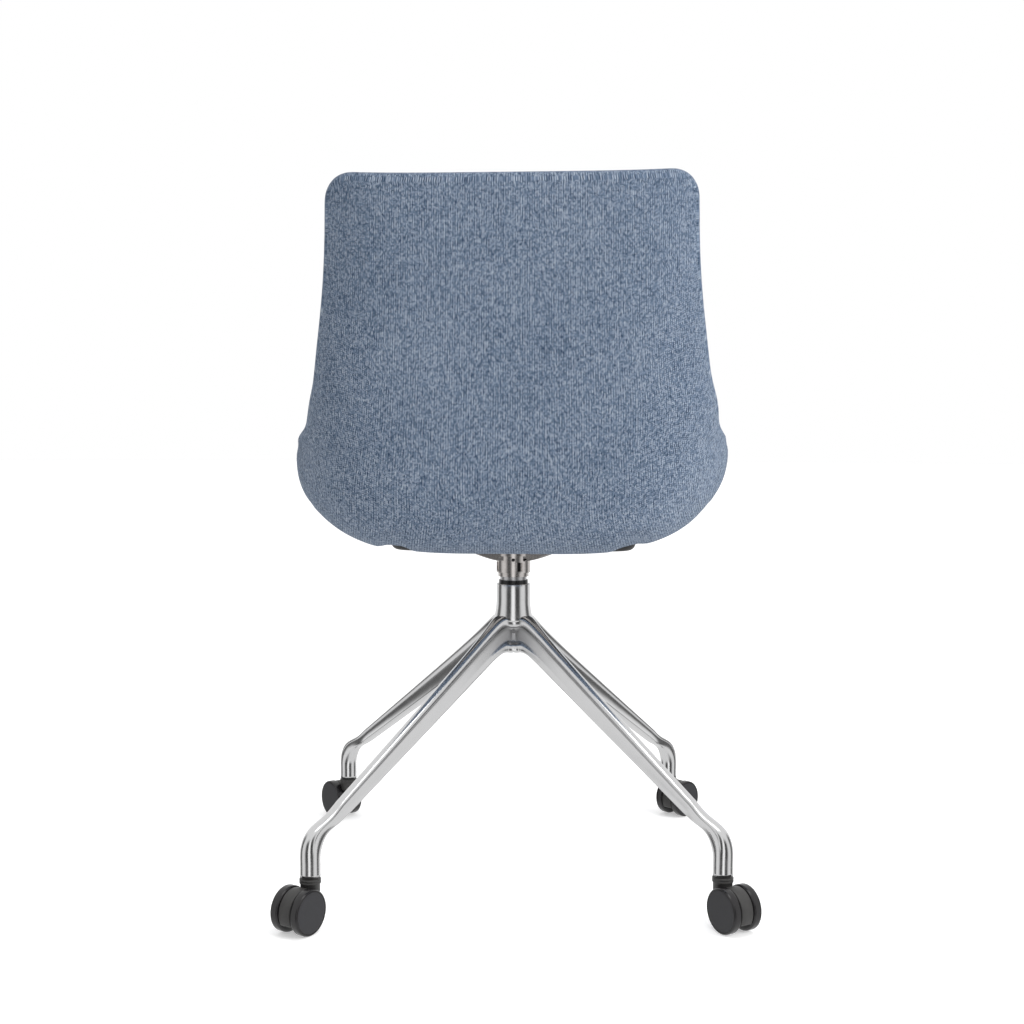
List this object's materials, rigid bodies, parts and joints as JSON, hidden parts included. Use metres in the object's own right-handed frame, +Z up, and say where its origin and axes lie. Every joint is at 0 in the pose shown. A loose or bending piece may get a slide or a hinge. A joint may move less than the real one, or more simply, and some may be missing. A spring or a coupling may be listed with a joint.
{
  "type": "swivel chair",
  "caption": "Upholstered one-piece bucket shell chair on a polished four-leg cast base with twin-wheel castors and a fixed-height swivel.",
  "frame": {"origin": "on the floor, on the seat's swivel axis", "axes": "+Z up; the sitter faces -Y, so the backrest is towards +Y; +X is the sitter's left"},
  "size_m": [0.5527, 0.5638, 0.8242],
  "materials": {
    "upholstery": "blue-grey melange woven upholstery",
    "foam": "moulded seat foam",
    "shell_plastic": "moulded inner shell",
    "tray_plastic": "black moulded under-tray",
    "cast_aluminium": "polished cast aluminium",
    "hub_steel": "machined and plated steel",
    "steel": "bright steel",
    "black_screws": "black oxide fasteners",
    "bush_plastic": "black acetal",
    "castor_hood": "matte black nylon",
    "castor_wheel": "smooth black nylon"
  },
  "bodies": {
    "base": {"base_frame": "cast_aluminium", "upper_bush": "bush_plastic", "lower_bush": "bush_plastic", "thrust_washer": "steel", "castor_sockets": "bush_plastic", "castor_stems": "steel", "grip_rings": "steel"},
    "seat": {"rear_cover": "upholstery", "rear_foam": "foam", "seat_shell": "shell_plastic", "seat_foam": "foam", "front_cover": "upholstery", "under_tray": "tray_plastic", "spider": "hub_steel", "seat_screws": "steel", "tee_nuts": "steel", "hub_grub_screws": "black_screws", "spindle": "steel", "retaining_washer": "steel", "retaining_screw": "black_screws"},
    "castor_rear_left": {"castor_rear_left_hood": "castor_hood", "castor_rear_left_axle": "steel"},
    "wheel_rear_left_a": {"castor_rear_left_wheel_a": "castor_wheel"},
    "wheel_rear_left_b": {"castor_rear_left_wheel_b": "castor_wheel"},
    "castor_rear_right": {"castor_rear_right_hood": "castor_hood", "castor_rear_right_axle": "steel"},
    "wheel_rear_right_a": {"castor_rear_right_wheel_a": "castor_wheel"},
    "wheel_rear_right_b": {"castor_rear_right_wheel_b": "castor_wheel"},
    "castor_front_left": {"castor_front_left_hood": "castor_hood", "castor_front_left_axle": "steel"},
    "wheel_front_left_a": {"castor_front_left_wheel_a": "castor_wheel"},
    "wheel_front_left_b": {"castor_front_left_wheel_b": "castor_wheel"},
    "castor_front_right": {"castor_front_right_hood": "castor_hood", "castor_front_right_axle": "steel"},
    "wheel_front_right_a": {"castor_front_right_wheel_a": "castor_wheel"},
    "wheel_front_right_b": {"castor_front_right_wheel_b": "castor_wheel"}
  },
  "joints": [
    {"name": "seat_swivel", "type": "hinge", "parent": "base", "child": "seat", "pos_m": [0, 0, 0.38], "axis": [0, 0, 1], "continuous": true},
    {"name": "castor_swivel_rear_left", "type": "hinge", "parent": "base", "child": "castor_rear_left", "pos_m": [0.21769, 0.23591, 0.05], "axis": [0, 0, 1], "continuous": true},
    {"name": "wheel_spin_rear_left_a", "type": "hinge", "parent": "castor_rear_left", "child": "wheel_rear_left_a", "pos_m": [0.22799, 0.25305, 0.025], "axis": [-0.8572, 0.515, 0], "continuous": true},
    {"name": "wheel_spin_rear_left_b", "type": "hinge", "parent": "castor_rear_left", "child": "wheel_rear_left_b", "pos_m": [0.22799, 0.25305, 0.025], "axis": [-0.8572, 0.515, 0], "continuous": true},
    {"name": "castor_swivel_rear_right", "type": "hinge", "parent": "base", "child": "castor_rear_right", "pos_m": [-0.23591, 0.21769, 0.05], "axis": [0, 0, 1], "continuous": true},
    {"name": "wheel_spin_rear_right_a", "type": "hinge", "parent": "castor_rear_right", "child": "wheel_rear_right_a", "pos_m": [-0.24621, 0.23483, 0.025], "axis": [-0.8572, -0.515, 0], "continuous": true},
    {"name": "wheel_spin_rear_right_b", "type": "hinge", "parent": "castor_rear_right", "child": "wheel_rear_right_b", "pos_m": [-0.24621, 0.23483, 0.025], "axis": [-0.8572, -0.515, 0], "continuous": true},
    {"name": "castor_swivel_front_left", "type": "hinge", "parent": "base", "child": "castor_front_left", "pos_m": [0.23591, -0.21769, 0.05], "axis": [0, 0, 1], "continuous": true},
    {"name": "wheel_spin_front_left_a", "type": "hinge", "parent": "castor_front_left", "child": "wheel_front_left_a", "pos_m": [0.24822, -0.23345, 0.025], "axis": [0.788, 0.6157, 0], "continuous": true},
    {"name": "wheel_spin_front_left_b", "type": "hinge", "parent": "castor_front_left", "child": "wheel_front_left_b", "pos_m": [0.24822, -0.23345, 0.025], "axis": [0.788, 0.6157, 0], "continuous": true},
    {"name": "castor_swivel_front_right", "type": "hinge", "parent": "base", "child": "castor_front_right", "pos_m": [-0.21769, -0.23591, 0.05], "axis": [0, 0, 1], "continuous": true},
    {"name": "wheel_spin_front_right_a", "type": "hinge", "parent": "castor_front_right", "child": "wheel_front_right_a", "pos_m": [-0.232, -0.24988, 0.025], "axis": [0.6984, -0.7157, 0], "continuous": true},
    {"name": "wheel_spin_front_right_b", "type": "hinge", "parent": "castor_front_right", "child": "wheel_front_right_b", "pos_m": [-0.232, -0.24988, 0.025], "axis": [0.6984, -0.7157, 0], "continuous": true}
  ]
}
